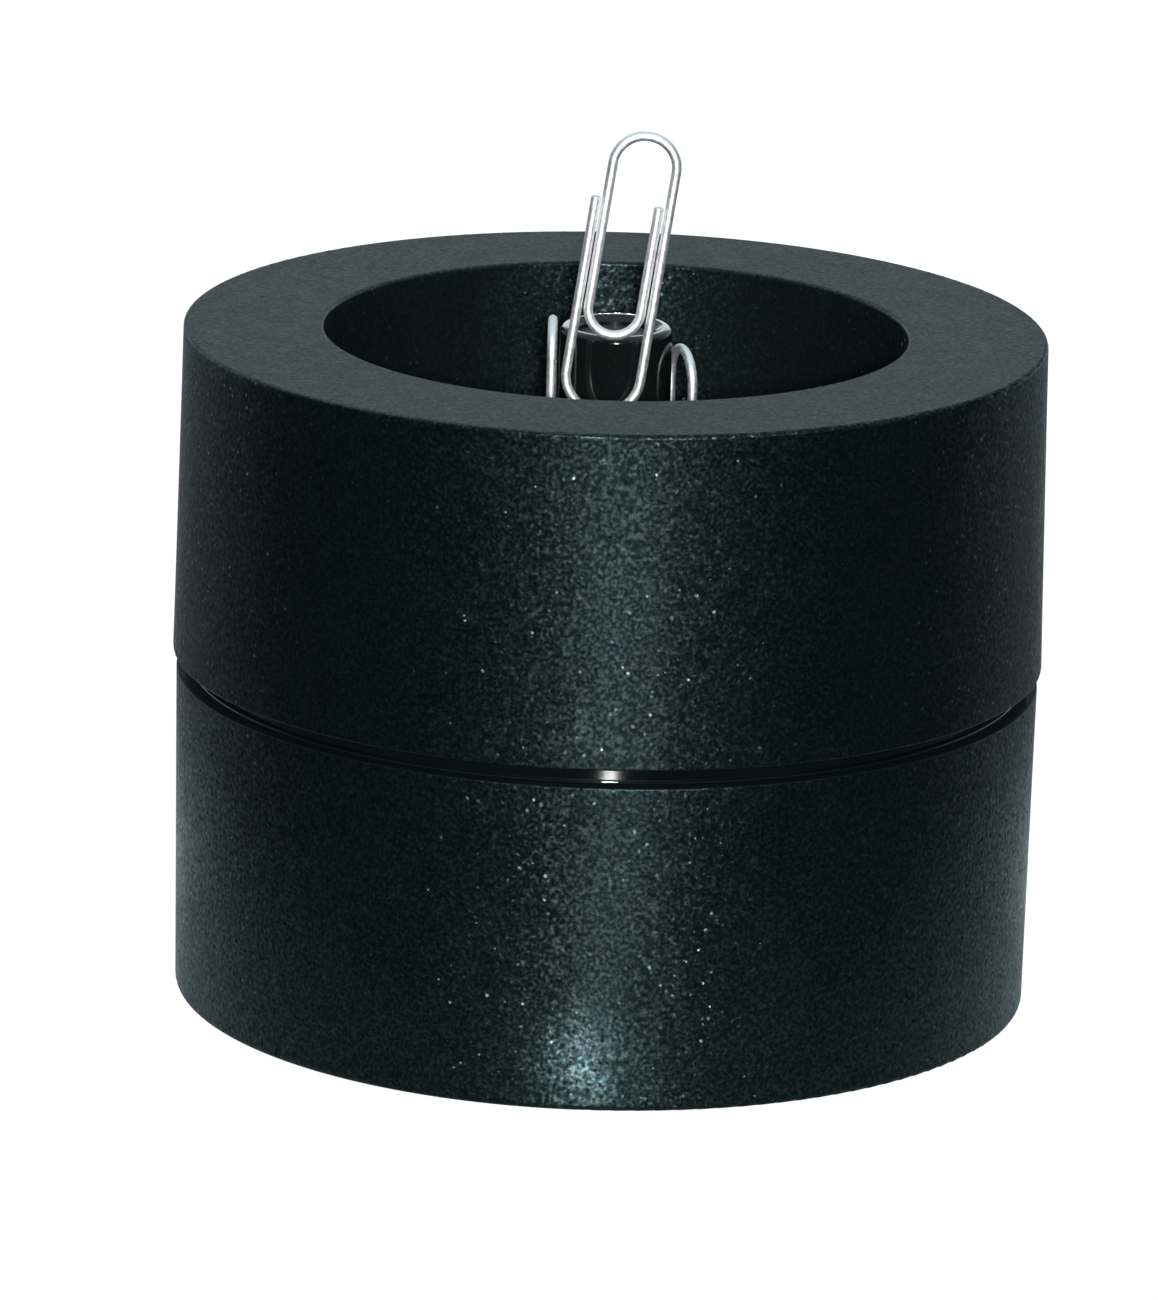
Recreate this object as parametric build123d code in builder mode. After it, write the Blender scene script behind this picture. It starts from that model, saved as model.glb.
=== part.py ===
from build123d import *
from math import cos, radians, sin, tan
import os

# Magnetic paper clip holder. A dish with a magnet post in its bowl sits on a storage cup
# and lifts off it. Three wire clips cling to the post.
# Millimetres, Z up, standing on Z = 0, seen from the front along +Y.

# Outline of the two halves
outer_diameter = 73.0
dish_height = 27.9
dish_draft = 0.9
cup_height = 27.6
cup_draft = 0.7
cup_inset = 0.3
groove_gap = 1.5
foot_standout = 0.5
rim_edge_radius = 0.35
lower_edge_radius = 0.2
cup_edge_radius = 0.5

# Bowl of the dish
bowl_mouth_diameter = 48.8
bowl_depth = 26.0
bowl_draft = 1.5
bowl_corner_radius = 3.0
bowl_wall = 2.4
bowl_floor = 1.7

# Hollow underside of the dish
dish_wall = 3.0
rim_thickness = 2.2
inner_corner_radius = 0.8
rib_count = 8
rib_thickness = 1.2
rib_drop = 12.0

# Lap joint between the halves: the dish's skirt slips over the cup's neck
lap_wall = 1.5
lap_depth = 6.0
lap_clearance = 0.1
neck_wall = 1.5
neck_lead_in = 0.4

# Storage cup
cup_floor = 2.4
cup_inner_draft = 0.5
cup_corner_radius = 2.5
underside_recess_diameter = 44.0
underside_recess_depth = 0.8

# Rubber feet
foot_count = 4
foot_diameter = 9.0
foot_recess = 0.8
foot_clearance = 0.1
foot_ring_diameter = 58.0
foot_edge_radius = 0.2

# Magnet post
post_diameter = 9.4
post_wall = 0.7
post_rise = 0.35
post_edge_radius = 0.6
post_mouth_width = 0.8
post_mouth_edge_radius = 0.1
post_lip_width = 1.4
post_lip_thickness = 0.8
post_lip_land = 0.3
post_seat_depth = 0.6
magnet_length = 20.0
post_fit = 0.05
post_chamfer = 0.2

# Wire clips
wire_diameter = 0.8
clip_length = 24.6
clip_width = 7.0
wire_pitch = 0.91
outer_end_setback = 6.1
inner_end_setback = 6.2
inner_loop_height = 6.65
wire_end_radius = 0.12
clip_gap = 0.2
front_clip_lift = 19.75
front_clip_shift = -0.98
front_clip_lean_angle = 8.0
left_clip_lift = 2.5
right_clip_bearing_angle = 20.0
right_clip_shift = -2.2


def narrowing(height, angle):
    # how much a drafted wall closes in over a height
    return height * tan(radians(angle))


# Levels
cup_under_z = foot_standout
ledge_z = cup_under_z + cup_height
dish_z = ledge_z + groove_gap
seat_z = dish_z + lap_depth
rim_z = dish_z + dish_height
bowl_z = rim_z - bowl_depth
bowl_under_z = bowl_z - bowl_floor
rim_under_z = rim_z - rim_thickness
cup_floor_z = cup_under_z + cup_floor
post_foot_z = bowl_z - post_seat_depth
post_top_z = rim_z + post_rise
magnet_top_z = post_top_z - post_lip_thickness
magnet_foot_z = magnet_top_z - magnet_length

# Radii
dish_radius = outer_diameter / 2
rim_radius = dish_radius - narrowing(dish_height, dish_draft)
ledge_radius = dish_radius - cup_inset
cup_foot_radius = ledge_radius - narrowing(cup_height, cup_draft)
lap_radius = dish_radius - lap_wall
neck_radius = lap_radius - lap_clearance
neck_bore_radius = neck_radius - neck_wall
cup_bore_radius = neck_bore_radius - narrowing(seat_z - cup_floor_z, cup_inner_draft)
seat_radius = dish_radius - dish_wall - narrowing(lap_depth, dish_draft)
hollow_radius = dish_radius - dish_wall - narrowing(rim_under_z - dish_z, dish_draft)
mouth_radius = bowl_mouth_diameter / 2
bowl_radius = mouth_radius - narrowing(bowl_depth, bowl_draft)
post_radius = post_diameter / 2
post_bore_radius = post_radius - post_wall
post_mouth_radius = post_radius - post_mouth_width
post_lip_radius = post_radius - post_lip_width
foot_radius = foot_diameter / 2

os.makedirs("parts", exist_ok=True)

# Storage cup with its neck, ledge and foot recesses
with BuildPart() as base_cup:
    with BuildSketch(Plane.XZ):
        with BuildLine():
            FilletPolyline(
                (0, cup_under_z + underside_recess_depth),
                (underside_recess_diameter / 2, cup_under_z + underside_recess_depth),
                (underside_recess_diameter / 2, cup_under_z),
                (cup_foot_radius, cup_under_z),
                (ledge_radius, ledge_z),
                (neck_radius, ledge_z),
                (neck_radius, seat_z),
                (neck_bore_radius, seat_z),
                (cup_bore_radius, cup_floor_z),
                (0, cup_floor_z),
                radius=[
                    0,
                    underside_recess_depth / 3,
                    underside_recess_depth / 3,
                    cup_edge_radius,
                    lower_edge_radius,
                    lower_edge_radius,
                    neck_lead_in,
                    neck_lead_in / 2,
                    cup_corner_radius,
                    0,
                ],
                close=True,
            )
        make_face()
    revolve(axis=Axis.Z)
    with BuildSketch(Plane.XY.offset(cup_under_z)):
        with PolarLocations(foot_ring_diameter / 2, foot_count, start_angle=45):
            Circle(foot_radius + foot_clearance)
    extrude(amount=foot_recess, mode=Mode.SUBTRACT)
base_cup.part.label = "base_cup"
export_step(base_cup.part, "parts/base_cup.step")

# Rubber feet, pressed flat against the bottoms of their recesses
with BuildPart() as rubber_feet:
    with BuildSketch():
        with PolarLocations(foot_ring_diameter / 2, foot_count, start_angle=45):
            Circle(foot_radius)
    extrude(amount=foot_standout + foot_recess)
    fillet(rubber_feet.edges().group_by(Axis.Z)[0], foot_edge_radius)
rubber_feet.part.label = "rubber_feet"
export_step(rubber_feet.part, "parts/rubber_feet.step")

# Dish: skirt, flat rim and bowl in one double-walled moulding, open below and ribbed inside
with BuildPart() as dish_shell:
    with BuildSketch(Plane.XZ):
        with BuildLine():
            FilletPolyline(
                (lap_radius, dish_z),
                (dish_radius, dish_z),
                (rim_radius, rim_z),
                (mouth_radius, rim_z),
                (bowl_radius, bowl_z),
                (0, bowl_z),
                (0, bowl_under_z),
                (bowl_radius + bowl_wall, bowl_under_z),
                (mouth_radius + bowl_wall, rim_under_z),
                (hollow_radius, rim_under_z),
                (seat_radius, seat_z),
                (lap_radius, seat_z),
                radius=[
                    lower_edge_radius,
                    lower_edge_radius,
                    rim_edge_radius,
                    rim_edge_radius,
                    bowl_corner_radius,
                    0,
                    0,
                    bowl_corner_radius + bowl_floor,
                    inner_corner_radius,
                    inner_corner_radius,
                    0,
                    0,
                ],
                close=True,
            )
        make_face()
    revolve(axis=Axis.Z)
    # ribs between bowl and skirt, sunk halfway into both walls
    for rib in range(rib_count):
        with BuildSketch(Plane.XZ.rotated((0, 0, 360 * (rib + 0.5) / rib_count))):
            with BuildLine():
                Polyline(
                    (mouth_radius + bowl_wall / 2, rim_under_z + rim_thickness / 2),
                    (hollow_radius + dish_wall / 2, rim_under_z + rim_thickness / 2),
                    (hollow_radius + dish_wall / 2, rim_under_z - rib_drop / 2),
                    (mouth_radius + bowl_wall / 2, rim_under_z - rib_drop),
                    close=True,
                )
            make_face()
        extrude(amount=rib_thickness / 2, both=True)
    # seat and peg that the magnet post stands on
    with BuildSketch(Plane.XY.offset(bowl_z)):
        Circle(post_radius + post_fit)
    extrude(amount=-post_seat_depth, mode=Mode.SUBTRACT)
    with BuildSketch(Plane.XY.offset(post_foot_z)):
        Circle(post_bore_radius - post_fit)
    extrude(amount=magnet_foot_z - post_foot_z)
    peg_top = dish_shell.faces().filter_by(Plane.XY).filter_by_position(
        Axis.Z, magnet_foot_z - post_fit, magnet_foot_z + post_fit
    )
    chamfer(peg_top.edges(), post_chamfer)
dish_shell.part.label = "dish_shell"
export_step(dish_shell.part, "parts/dish_shell.step")

# Glossy post sleeve, pushed down over the peg, with a dished lip that keeps the magnet in
with BuildPart() as post_sleeve:
    with BuildSketch(Plane.XZ):
        with BuildLine():
            FilletPolyline(
                (post_bore_radius, post_foot_z),
                (post_radius, post_foot_z),
                (post_radius, post_top_z),
                (post_mouth_radius, post_top_z),
                (post_lip_radius, magnet_top_z + post_lip_land),
                (post_lip_radius, magnet_top_z),
                (post_bore_radius, magnet_top_z),
                radius=[
                    0,
                    post_chamfer,
                    post_edge_radius,
                    post_mouth_edge_radius,
                    0,
                    0,
                    0,
                ],
                close=True,
            )
        make_face()
    revolve(axis=Axis.Z)
post_sleeve.part.label = "post_sleeve"
export_step(post_sleeve.part, "parts/post_sleeve.step")

# Rod magnet, held between the peg and the lip
with BuildPart() as magnet:
    with BuildSketch(Plane.XY.offset(magnet_foot_z)):
        Circle(post_bore_radius - post_fit)
    extrude(amount=magnet_length)
    chamfer(magnet.edges().filter_by(GeomType.CIRCLE), post_chamfer)
magnet.part.label = "magnet"
export_step(magnet.part, "parts/magnet.step")


def bend_clip(name, bearing, shift, lift, lean):
    # One wire clip in a plane that touches the post. Bearing is the direction from the post
    # to the clip, shift moves it sideways, lift raises it off the bowl floor, and lean tips
    # its top to the right as seen from outside.
    wire_radius = wire_diameter / 2
    outer_bend = clip_width / 2 - wire_radius
    top_bend = outer_bend - wire_pitch / 2
    inner_bend = outer_bend - wire_pitch
    top_y = clip_length - clip_width / 2 - wire_radius - top_bend
    inner_y = inner_loop_height + inner_bend + wire_radius - clip_width / 2
    outer_end_y = clip_length - clip_width / 2 - outer_end_setback
    inner_end_y = clip_length - clip_width / 2 - inner_end_setback
    outward = Vector(cos(radians(bearing)), sin(radians(bearing)), 0)
    sideways = Vector(-outward.Y, outward.X, 0)
    standoff = post_radius + clip_gap + wire_radius
    middle = outward * standoff + sideways * shift
    height = bowl_z + lift + clip_width / 2
    flat = Plane(
        origin=(middle.X, middle.Y, height),
        x_dir=sideways * cos(radians(lean)) - Vector(0, 0, sin(radians(lean))),
        z_dir=outward,
    )
    with BuildPart() as clip:
        with BuildLine(flat):
            start = Line((-outer_bend, outer_end_y), (-outer_bend, 0))
            ThreePointArc((-outer_bend, 0), (0, -outer_bend), (outer_bend, 0))
            Line((outer_bend, 0), (outer_bend, top_y))
            ThreePointArc(
                (outer_bend, top_y),
                (outer_bend - top_bend, top_y + top_bend),
                (outer_bend - 2 * top_bend, top_y),
            )
            Line((-inner_bend, top_y), (-inner_bend, inner_y))
            ThreePointArc((-inner_bend, inner_y), (0, inner_y - inner_bend), (inner_bend, inner_y))
            Line((inner_bend, inner_y), (inner_bend, inner_end_y))
        with BuildSketch(Plane(origin=start @ 0, z_dir=start % 0)):
            Circle(wire_radius)
        sweep()
        tips = clip.faces().filter_by(GeomType.PLANE)
        fillet(tips.edges(), wire_end_radius)
    clip.part.label = name
    export_step(clip.part, f"parts/{name}.step")


bend_clip("clip_front", -90, front_clip_shift, front_clip_lift, front_clip_lean_angle)
bend_clip("clip_left", 180, 0, left_clip_lift, 0)
bend_clip("clip_right", right_clip_bearing_angle, right_clip_shift, clip_gap, 0)
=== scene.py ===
import math

import bpy
from mathutils import Matrix, Vector

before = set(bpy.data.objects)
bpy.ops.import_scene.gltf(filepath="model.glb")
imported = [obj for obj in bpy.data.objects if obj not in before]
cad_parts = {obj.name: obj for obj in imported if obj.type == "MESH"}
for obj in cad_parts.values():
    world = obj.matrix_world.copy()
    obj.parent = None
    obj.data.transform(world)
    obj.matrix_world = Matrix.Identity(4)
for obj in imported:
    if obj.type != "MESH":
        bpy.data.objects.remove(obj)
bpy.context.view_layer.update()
scene = bpy.context.scene
scene.view_settings.view_transform = "Standard"
print("frame loaded:", sorted(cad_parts))

mm = 0.001
white = (1, 1, 1, 1)
middle = (0.5, 0.5, 0.5)      # of a noise's colour


# small node-tree helpers

def newMaterial(name):
    mat = bpy.data.materials.new(name)
    mat.use_nodes = True
    tree = mat.node_tree
    tree.nodes.clear()
    return mat, tree


def put(tree, kind, props=None, **inputs):
    # an input goes by its socket's name, with _ for a space, or by number as in0, in1 and so on
    node = tree.nodes.new(kind)
    for key, value in (props or {}).items():
        setattr(node, key, value)
    for key, value in inputs.items():
        numbered = key.startswith("in") and key[2:].isdigit()
        sock = node.inputs[int(key[2:]) if numbered else key.replace("_", " ")]
        if hasattr(value, "is_output"):
            tree.links.new(value, sock)
        else:
            sock.default_value = value
    return node


def mathNode(tree, op, a, b=0.0, clamp=False):
    return put(tree, "ShaderNodeMath", {"operation": op, "use_clamp": clamp}, in0=a, in1=b).outputs[0]


def vectorNode(tree, op, a, out="Vector", **more):
    return put(tree, "ShaderNodeVectorMath", {"operation": op}, in0=a, **more).outputs[out]


def ramp(tree, value, low, high, outLow=0.0, outHigh=1.0):
    return put(tree, "ShaderNodeMapRange", {"interpolation_type": "SMOOTHSTEP"},
               in0=value, in1=low, in2=high, in3=outLow, in4=outHigh).outputs[0]


def edge(tree, value, place, fade):
    # mask that comes in between two distances from a place
    return ramp(tree, value, place + fade[0], place + fade[1])


def mixFloat(tree, fac, a, b):
    return put(tree, "ShaderNodeMix", {"data_type": "FLOAT"}, in0=fac, in2=a, in3=b).outputs[0]


def mixColour(tree, fac, a, b):
    return put(tree, "ShaderNodeMix", {"data_type": "RGBA"}, in0=fac, in6=a, in7=b).outputs[2]


def millimetres(tree):
    # the piece's own coordinates, in millimetres, so a grain keeps its size and rides along
    coord = put(tree, "ShaderNodeTexCoord")
    return vectorNode(tree, "SCALE", coord.outputs["Object"], Scale=1 / mm)


def noise(tree, where, scale, detail=2.0, rough=0.5, out="Fac"):
    node = put(tree, "ShaderNodeTexNoise", Vector=where, Scale=scale, Detail=detail, Roughness=rough)
    return node.outputs[out]


def bumped(tree, height, strength, depth):
    return put(tree, "ShaderNodeBump", Strength=strength, Distance=depth * mm, Height=height).outputs[0]


def skinned(mat, tree, **inputs):
    skin = put(tree, "ShaderNodeBsdfPrincipled", **inputs)
    put(tree, "ShaderNodeOutputMaterial", Surface=skin.outputs[0])
    return mat


def dress(mat, *names):
    for name in names:
        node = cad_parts[name]
        for slot in node.material_slots:
            slot.material = mat
        if not node.material_slots:
            node.data.materials.append(mat)


# in every dictionary below, a noise is its scale per millimetre, then detail and roughness

# moulded black shells: spark grain on the walls and in the bowl, matt rim and ledge, polished neck;
# painted light makes the rim's top and the bowl's inside lighter

shell = {
    "black": (0.0007, 0.0022, 0.0020, 1),
    "faded": (0.0011, 0.0029, 0.0026, 1),
    "drift": (0.12, 3.0),     # slow change from one to the other
    "driftSpan": (0.35, 0.7),
    # the bowl's inside is painted lighter than the walls: painted light reaching into the bowl
    "bowlBlack": (0.0030, 0.0052, 0.0050, 1),
    "rimDull": (0.008, 0.011, 0.011, 1),      # the rim's matt finish is real, but its upward faces are painted lighter in fine specks: a painted sheen where light falls on the top
    "rimBloom": (0.038, 0.048, 0.048, 1),
    "sheenTint": (0.52, 0.88, 1.0, 1),
    "sheenTintB": (0.72, 1.0, 0.98, 1),
    "hue": (1.8, 1.0),        # patches of those two tints
    "hueSpan": (0.38, 0.62),
    "dullTint": (0.10, 0.17, 0.19, 1),
    "mottle": 0.31,           # size in mm of the duller and brighter grains
    "mottleSpan": (0.36, 0.80),
    "calmShare": 0.50,        # where the plain faces lie between those two
    "gloss": 0.55,            # specular level
    "grain": 0.36,            # size of the grain in mm
    "fineDetail": 1.0,        # of the grain and the mottle
    "dishLean": 0.46,         # how far the grain's slopes lean
    "cupLean": 0.62,
    "rimLean": 0.30,          # fine tooth of the rim
    "spark": 0.50,            # spacing of the bright specks in mm
    "sparkEdge": (0.36, 0.22),        # where a speck ends and where it is full, in spacings
    "sparkShare": 0.30,       # how many of the places hold one
    "sparkFade": (0, 0.01),
    "sparkLean": 0.55,
    "sparkMiddle": (0.5, 0.5, 0.1),   # below 0.5 turns the specks upwards
    "wallRough": 0.38,
    "sparkRough": 0.29,
    "rimRough": 0.76,
    "ledgeRough": 0.75,
    "neckRough": 0.04,
    "smear": (0.5, 3.0),      # slow change of the roughness
    "smearSpan": (0.3, 0.7),
    "smearRange": (-0.02, 0.02),
    "wallRadius": 34.2,       # outside this the skin is grained
    "wallFade": (0, 0.2),
    "bowlRadius": 24.9,       # inside this too, in the dish
    "bowlFade": (0, -0.1),
    "bowlZ": 31.7,            # and above this
    "floorFade": (-0.3, -0.2),
    "rimZ": 57.5,
    "rimFade": (-0.3, -0.1),
    "rimFacing": (0.6, 0.95),         # how far a face of the rim looks upwards
    "ledgeZ": 28.1,           # top of the cup's wall, where the neck begins
    "ledgeFade": (-0.12, -0.05),
    "neckFade": (0.02, 0.12),
}


def shellZones(tree, pos, isDish):
    # masks of the differently finished parts of the skin
    xyz = put(tree, "ShaderNodeSeparateXYZ", Vector=pos).outputs
    flat = put(tree, "ShaderNodeCombineXYZ", X=xyz["X"], Y=xyz["Y"])
    radius = vectorNode(tree, "LENGTH", flat.outputs[0], out="Value")
    height = xyz["Z"]
    grained = edge(tree, radius, shell["wallRadius"], shell["wallFade"])
    bowl = rim = ledge = neck = 0.0
    if isDish:
        bowl = mathNode(tree, "MULTIPLY", edge(tree, radius, shell["bowlRadius"], shell["bowlFade"]),
                        edge(tree, height, shell["bowlZ"], shell["floorFade"]))
        grained = mathNode(tree, "MAXIMUM", grained, bowl)
        coord = put(tree, "ShaderNodeTexCoord")
        facing = put(tree, "ShaderNodeSeparateXYZ", Vector=coord.outputs["Normal"])
        rim = mathNode(tree, "MULTIPLY", ramp(tree, facing.outputs["Z"], *shell["rimFacing"]),
                       edge(tree, height, shell["rimZ"], shell["rimFade"]))
    else:
        ledge = edge(tree, height, shell["ledgeZ"], shell["ledgeFade"])
        neck = edge(tree, height, shell["ledgeZ"], shell["neckFade"])
    calm = mathNode(tree, "MAXIMUM", rim, ledge)
    rest = mathNode(tree, "SUBTRACT", 1.0, calm, clamp=True)
    grained = mathNode(tree, "MULTIPLY", grained, rest)
    return {"grained": grained, "bowl": bowl, "rim": rim, "ledge": ledge, "neck": neck}


def shellSlope(tree, pos, zones, isDish):
    # slopes of the grain, smooth from hump to hump
    humps = noise(tree, pos, 1 / shell["grain"], shell["fineDetail"], out="Color")
    slope = vectorNode(tree, "SUBTRACT", humps, in1=middle)
    calmLean = mixFloat(tree, zones["rim"], 0.0, shell["rimLean"])
    lean = mixFloat(tree, zones["grained"], calmLean, shell["dishLean" if isDish else "cupLean"])
    return vectorNode(tree, "SCALE", slope, Scale=lean)


def shellSparks(tree, pos, zones):
    # small round facets that flash when they face the lamp
    cells = put(tree, "ShaderNodeTexVoronoi", {"feature": "F1"}, Vector=pos, Scale=1 / shell["spark"],
                Randomness=1.0).outputs
    lot = put(tree, "ShaderNodeTexWhiteNoise", Vector=cells["Position"]).outputs["Value"]
    chosen = edge(tree, lot, 1 - shell["sparkShare"], shell["sparkFade"])
    dot = mathNode(tree, "MULTIPLY", ramp(tree, cells["Distance"], *shell["sparkEdge"]),
                   mathNode(tree, "MULTIPLY", zones["grained"], chosen))
    facet = vectorNode(tree, "SUBTRACT", cells["Color"], in1=shell["sparkMiddle"])
    lean = mathNode(tree, "MULTIPLY", dot, shell["sparkLean"])
    return dot, vectorNode(tree, "SCALE", facet, Scale=lean)


def shellMaterial(name, isDish):
    mat, tree = newMaterial(name)
    pos = millimetres(tree)
    zones = shellZones(tree, pos, isDish)
    dot, facet = shellSparks(tree, pos, zones)
    lean = vectorNode(tree, "ADD", shellSlope(tree, pos, zones, isDish), in1=facet)
    straight = put(tree, "ShaderNodeNewGeometry").outputs["Normal"]
    normal = vectorNode(tree, "NORMALIZE", vectorNode(tree, "ADD", straight, in1=lean))
    mottle = noise(tree, pos, 1 / shell["mottle"], shell["fineDetail"])
    shine = ramp(tree, mottle, *shell["mottleSpan"])
    # colour
    drift = ramp(tree, noise(tree, pos, *shell["drift"]), *shell["driftSpan"])
    colour = mixColour(tree, drift, shell["black"], shell["faded"])
    # painted light: the bowl's inside gets a lighter colour
    colour = mixColour(tree, zones["bowl"], colour, shell["bowlBlack"])
    # painted sheen: the rim's top is painted lighter, in fine specks
    colour = mixColour(tree, zones["rim"], colour,
                       mixColour(tree, shine, shell["rimDull"], shell["rimBloom"]))
    # roughness
    rough = mixFloat(tree, dot, shell["wallRough"], shell["sparkRough"])
    for zone in ("rim", "ledge", "neck"):
        rough = mixFloat(tree, zones[zone], rough, shell[zone + "Rough"])
    smear = noise(tree, pos, *shell["smear"])
    rough = mathNode(tree, "ADD", rough, ramp(tree, smear, *shell["smearSpan"], *shell["smearRange"]))
    # tint of the sheen
    hue = ramp(tree, noise(tree, pos, *shell["hue"]), *shell["hueSpan"])
    share = mixFloat(tree, zones["grained"], shell["calmShare"], shine)
    share = mixFloat(tree, zones["ledge"], share, 0.0)
    tint = mixColour(tree, hue, shell["sheenTint"], shell["sheenTintB"])
    tint = mixColour(tree, share, shell["dullTint"], tint)
    tint = mixColour(tree, zones["neck"], tint, white)
    return skinned(mat, tree, Base_Color=colour, Roughness=rough, Normal=normal,
                   Specular_IOR_Level=shell["gloss"], Specular_Tint=tint)


dress(shellMaterial("dishBlack", True), "dish_shell")
dress(shellMaterial("cupBlack", False), "base_cup")
print("shells dressed")


# polished post with fine handling marks

post = {
    "black": (0.003, 0.0036, 0.0036, 1),
    "scuffed": (0.006, 0.007, 0.007, 1),
    "marks": (2.2, 4.0, 0.65),
    "marksSpan": (0.3, 0.75),
    "roughRange": (0.05, 0.15),
    "gloss": 0.42,            # specular level
    "waves": (5.0, 2.0),
    "bump": (0.12, 0.03),     # strength, and depth in mm
}


def postMaterial():
    mat, tree = newMaterial("postGloss")
    pos = millimetres(tree)
    marks = noise(tree, pos, *post["marks"])
    rough = ramp(tree, marks, *post["marksSpan"], *post["roughRange"])
    colour = mixColour(tree, marks, post["black"], post["scuffed"])
    normal = bumped(tree, noise(tree, pos, *post["waves"]), *post["bump"])
    return skinned(mat, tree, Base_Color=colour, Roughness=rough, Normal=normal,
                   Specular_IOR_Level=post["gloss"])


dress(postMaterial(), "post_sleeve")


# dark sintered magnet

magnetCore = {
    "dark": (0.018, 0.018, 0.02, 1),
    "light": (0.05, 0.05, 0.052, 1),
    "grit": (7.0, 4.0, 0.7),
    "lightSpan": (0.4, 0.7),
    "roughSpan": (0.3, 0.7),
    "roughRange": (0.5, 0.72),
    "metal": 0.35,
    "bump": (0.5, 0.06),
}


def magnetMaterial():
    mat, tree = newMaterial("magnetSinter")
    pos = millimetres(tree)
    grit = noise(tree, pos, *magnetCore["grit"])
    light = ramp(tree, grit, *magnetCore["lightSpan"])
    colour = mixColour(tree, light, magnetCore["dark"], magnetCore["light"])
    rough = ramp(tree, grit, *magnetCore["roughSpan"], *magnetCore["roughRange"])
    return skinned(mat, tree, Base_Color=colour, Roughness=rough, Metallic=magnetCore["metal"],
                   Normal=bumped(tree, grit, *magnetCore["bump"]))


dress(magnetMaterial(), "magnet")


# rubber feet

feet = {
    "dark": (0.02, 0.02, 0.02, 1),
    "dusty": (0.045, 0.044, 0.042, 1),
    "dust": (1.4, 5.0, 0.6),
    "dustySpan": (0.42, 0.72),
    "roughSpan": (0.3, 0.7),
    "roughRange": (0.72, 0.88),
    "pores": (5.0, 3.0),
    "bump": (0.4, 0.05),
}


def rubberMaterial():
    mat, tree = newMaterial("footRubber")
    pos = millimetres(tree)
    dust = noise(tree, pos, *feet["dust"])
    colour = mixColour(tree, ramp(tree, dust, *feet["dustySpan"]), feet["dark"], feet["dusty"])
    rough = ramp(tree, dust, *feet["roughSpan"], *feet["roughRange"])
    normal = bumped(tree, noise(tree, pos, *feet["pores"]), *feet["bump"])
    return skinned(mat, tree, Base_Color=colour, Roughness=rough, Normal=normal)


dress(rubberMaterial(), "rubber_feet")


# bright plated wire

wire = {
    "bright": (0.96, 0.96, 0.96, 1),
    "dull": (0.86, 0.87, 0.88, 1),
    "drawn": (1.1, 4.0, 0.6),         # patches of duller plating
    "drawnSpan": (0.4, 0.75),
    "edge": (0, 0, 0, 1),             # darkens the wire where it turns away
    "metal": 0.96,
    "polish": (2.6, 3.0),
    "polishSpan": (0.3, 0.75),
    "roughRange": (0.43, 0.58),
    "dents": (4.0, 3.0),
    "bump": (0.15, 0.03),
}


def wireMaterial():
    mat, tree = newMaterial("clipPlating")
    pos = millimetres(tree)
    drawn = ramp(tree, noise(tree, pos, *wire["drawn"]), *wire["drawnSpan"])
    colour = mixColour(tree, drawn, wire["bright"], wire["dull"])
    rough = ramp(tree, noise(tree, pos, *wire["polish"]), *wire["polishSpan"], *wire["roughRange"])
    normal = bumped(tree, noise(tree, pos, *wire["dents"]), *wire["bump"])
    return skinned(mat, tree, Base_Color=colour, Roughness=rough, Metallic=wire["metal"], Normal=normal,
                   Specular_Tint=wire["edge"])


dress(wireMaterial(), "clip_front", "clip_left", "clip_right")
print("post, magnet, feet and clips dressed")


# pale satin floor that keeps the shadow

floorLook = {
    "size": 6.0,              # metres, as are the reaches
    "paper": (0.16, 0.16, 0.16, 1),
    "glow": 0.95,             # lifts the floor to white for the camera
    "mirrorPaper": (0.05, 0.05, 0.05, 1),
    "mirrorTint": (0.70, 0.95, 1.0, 1),
    "mirrorGlow": 0.62,       # a painted glow, seen only in reflections, close behind the object, in the white of a lit floor
    "mirrorReach": (0.055, 0.11),
    "mirrorStart": (-0.01, 0.04),     # where that glow sets in, from front to back
    "paintedGlowRing": 0.32,         # and a weaker painted glow all round the foot
    "ringReach": (0.045, 0.10),
    "satin": 0.12,            # roughness of its sheen, as the object mirrors it
    "gloss": 0.30,
}


def floorMaterial():
    mat, tree = newMaterial("floorPaper")
    path = put(tree, "ShaderNodeLightPath").outputs
    paper = put(tree, "ShaderNodeBsdfDiffuse", Color=floorLook["paper"])
    glow = put(tree, "ShaderNodeEmission", Color=white,
               Strength=mathNode(tree, "MULTIPLY", path["Is Camera Ray"], floorLook["glow"]))
    seen = put(tree, "ShaderNodeAddShader", in0=paper.outputs[0], in1=glow.outputs[0])
    # what the object mirrors of it: the satin sheen plus a painted glow round the foot
    spot = put(tree, "ShaderNodeTexCoord").outputs["Object"]
    depth = put(tree, "ShaderNodeSeparateXYZ", Vector=spot).outputs["Y"]
    away = vectorNode(tree, "LENGTH", spot, out="Value")
    patch = mathNode(tree, "MULTIPLY", ramp(tree, depth, *floorLook["mirrorStart"]),
                     ramp(tree, away, *floorLook["mirrorReach"], floorLook["mirrorGlow"], 0.0))
    ring = ramp(tree, away, *floorLook["ringReach"], floorLook["paintedGlowRing"], 0.0)
    glowPaint = put(tree, "ShaderNodeEmission", Color=floorLook["mirrorTint"],
                   Strength=mathNode(tree, "MAXIMUM", patch, ring))
    sheen = put(tree, "ShaderNodeBsdfPrincipled", Base_Color=floorLook["mirrorPaper"],
                Roughness=floorLook["satin"], Specular_IOR_Level=floorLook["gloss"])
    sheen = put(tree, "ShaderNodeAddShader", in0=sheen.outputs[0], in1=glowPaint.outputs[0])
    mirrored = mathNode(tree, "MAXIMUM", path["Is Glossy Ray"], path["Is Transmission Ray"])
    both = put(tree, "ShaderNodeMixShader", in0=mirrored, in1=seen.outputs[0], in2=sheen.outputs[0])
    put(tree, "ShaderNodeOutputMaterial", Surface=both.outputs[0])
    return mat


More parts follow.
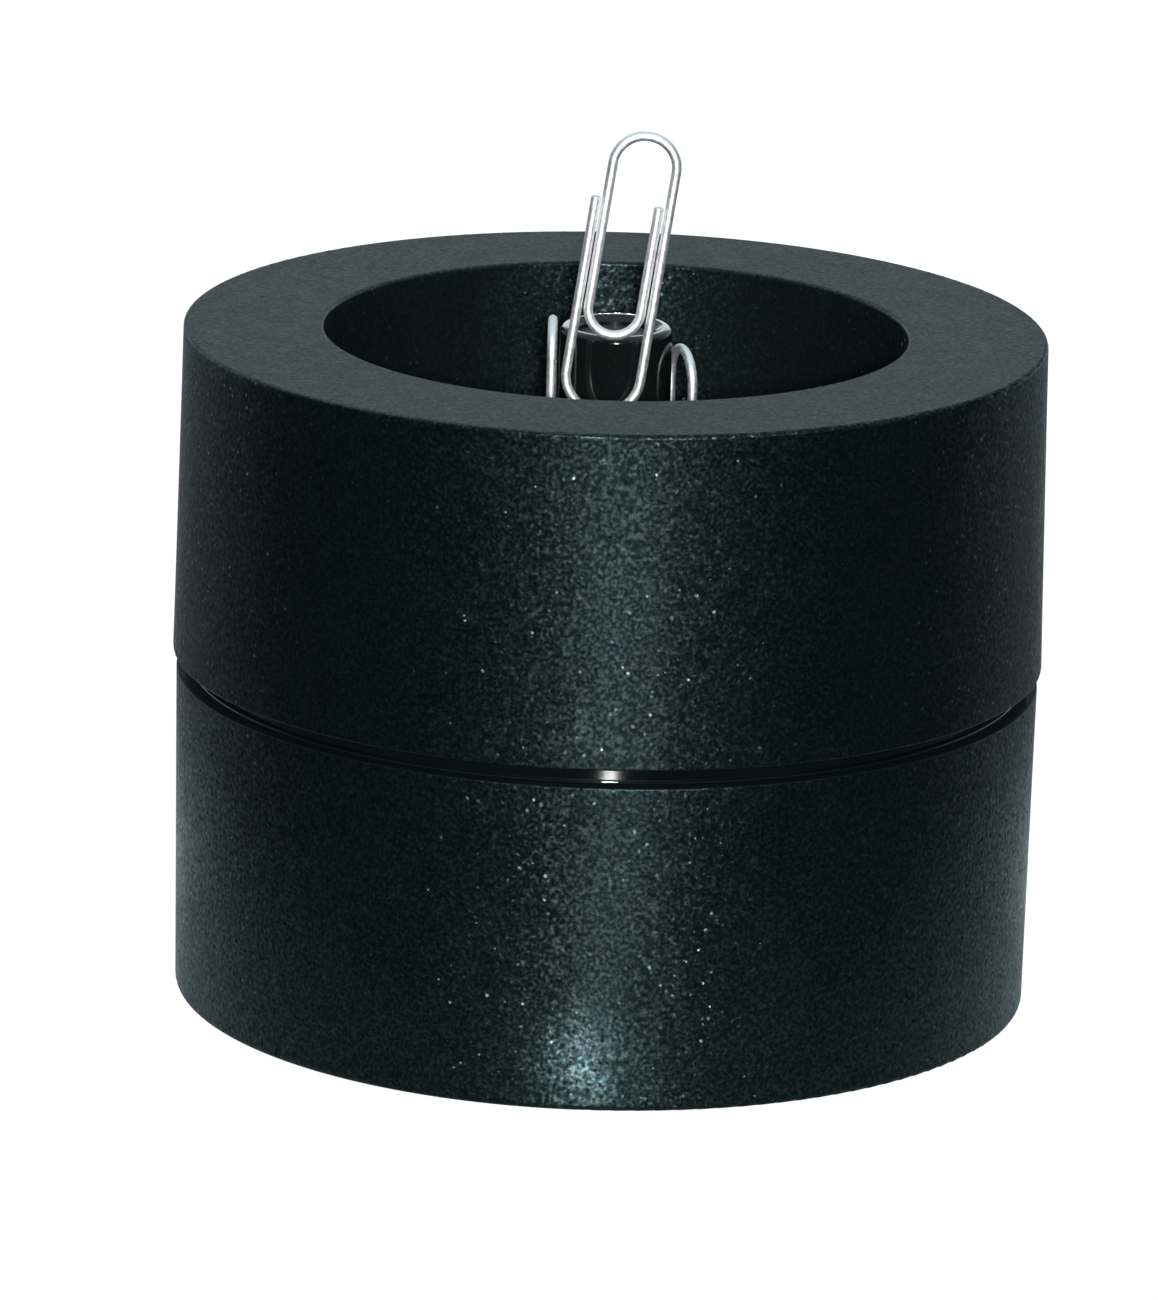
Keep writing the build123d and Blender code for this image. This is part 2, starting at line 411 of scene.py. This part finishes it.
def makeFloor():
    half = floorLook["size"] / 2
    corners = [(-half, -half, 0), (half, -half, 0), (half, half, 0), (-half, half, 0)]
    mesh = bpy.data.meshes.new("floor")
    mesh.from_pydata(corners, [], [(0, 1, 2, 3)])
    mesh.materials.append(floorMaterial())
    floor = bpy.data.objects.new("floor", mesh)
    scene.collection.objects.link(floor)


makeFloor()


# white surroundings behind, a dim room in front

room = {
    "tint": (0.74, 0.95, 1.0, 1),
    "front": 0.012,
    "behind": 0.74,
    "depthSpan": (-0.1, 0.8),         # from front to behind
    "ceiling": 0.72,
    "heightSpan": (0.3, 0.8),         # from the walls to the ceiling
}


def makeWorld():
    world = bpy.data.worlds.new("room")
    scene.world = world
    world.use_nodes = True
    tree = world.node_tree
    tree.nodes.clear()
    path = put(tree, "ShaderNodeLightPath")
    coord = put(tree, "ShaderNodeTexCoord")
    axis = put(tree, "ShaderNodeSeparateXYZ", Vector=coord.outputs["Generated"]).outputs
    walls = ramp(tree, axis["Y"], *room["depthSpan"], room["front"], room["behind"])
    level = mixFloat(tree, ramp(tree, axis["Z"], *room["heightSpan"]), walls, room["ceiling"])
    lit = put(tree, "ShaderNodeBackground", Color=room["tint"], Strength=level)
    seen = put(tree, "ShaderNodeBackground", Color=white, Strength=1.0)
    both = put(tree, "ShaderNodeMixShader", in0=path.outputs["Is Camera Ray"], in1=lit.outputs[0],
               in2=seen.outputs[0])
    put(tree, "ShaderNodeOutputWorld", Surface=both.outputs[0])


makeWorld()


# lamps: places and sizes in metres, power in watts, spread in degrees

lamps = {
    "flash": {                # in front, just right of the camera
        "at": (0.025, -0.85, 0.265), "aim": (0, 0, 0.03), "size": (0.06, 0.06),
        "power": 10.4, "spread": 180,
    },
    "sky": {                  # soft, over the rim from behind
        "at": (0, 1.0, 0.30), "aim": (0, 0, 0.05), "size": (0.8, 0.4),
        "power": 1.2, "spread": 180,
    },
    "fill": {                 # low, for the walls at the back
        "at": (0, 0.90, 0.034), "aim": (0, 0, 0.03), "size": (0.05, 0.04),
        "power": 3.6, "spread": 180,
    },
    "kicker": {               # light off the table top at the foot
        "at": (-0.002, -0.0465, 0.002), "aim": (-0.001, -0.036, 0.003), "size": (0.004, 0.002),
        "power": 0.00036, "spread": 75,
    },
}


def addLamp(name, spec):
    data = bpy.data.lights.new(name, "AREA")
    data.shape = "ELLIPSE"
    data.size, data.size_y = spec["size"]
    data.energy = spec["power"]
    data.spread = math.radians(spec["spread"])
    lamp = bpy.data.objects.new(name, data)
    lamp.location = spec["at"]
    aim = Vector(spec["aim"]) - Vector(spec["at"])
    lamp.rotation_euler = aim.to_track_quat("-Z", "Y").to_euler()
    lamp.visible_camera = False
    scene.collection.objects.link(lamp)


for name, spec in lamps.items():
    addLamp(name, spec)
print("floor, room and lamps placed")


# camera, fitted to the rim, bowl, groove and base edges

eye = {
    "aim": (0, 0, 29.5 * mm),
    "distance": 880.08 * mm,
    "elevation": 0.26868,     # radians, as is the roll
    "roll": -0.02772,
    "photoHeight": 1300,      # pixels, as are the focal length and the shift
    "focal": 10463.2,
    "shift": (-28.34, 2.60),
    "sensor": 36,             # mm
    "nearest": 0.01,          # metres
}


def makeCamera():
    perPixel = 1 / eye["photoHeight"]
    data = bpy.data.cameras.new("camera")
    data.sensor_width = eye["sensor"]
    data.lens = eye["focal"] * perPixel * eye["sensor"]
    data.shift_x, data.shift_y = (step * perPixel for step in eye["shift"])
    data.clip_start = eye["nearest"]
    cam = bpy.data.objects.new("camera", data)
    back = Vector((0, -math.cos(eye["elevation"]), math.sin(eye["elevation"])))
    right = Vector((1, 0, 0))
    up = back.cross(right)
    c, s = math.cos(eye["roll"]), math.sin(eye["roll"])
    turned = right * c - up * s
    raised = right * s + up * c
    place = Vector(eye["aim"]) + back * eye["distance"]
    cam.matrix_world = Matrix((
        (turned.x, raised.x, back.x, place.x),
        (turned.y, raised.y, back.y, place.y),
        (turned.z, raised.z, back.z, place.z),
        (0, 0, 0, 1),
    ))
    scene.collection.objects.link(cam)
    scene.camera = cam


makeCamera()
print("camera set")
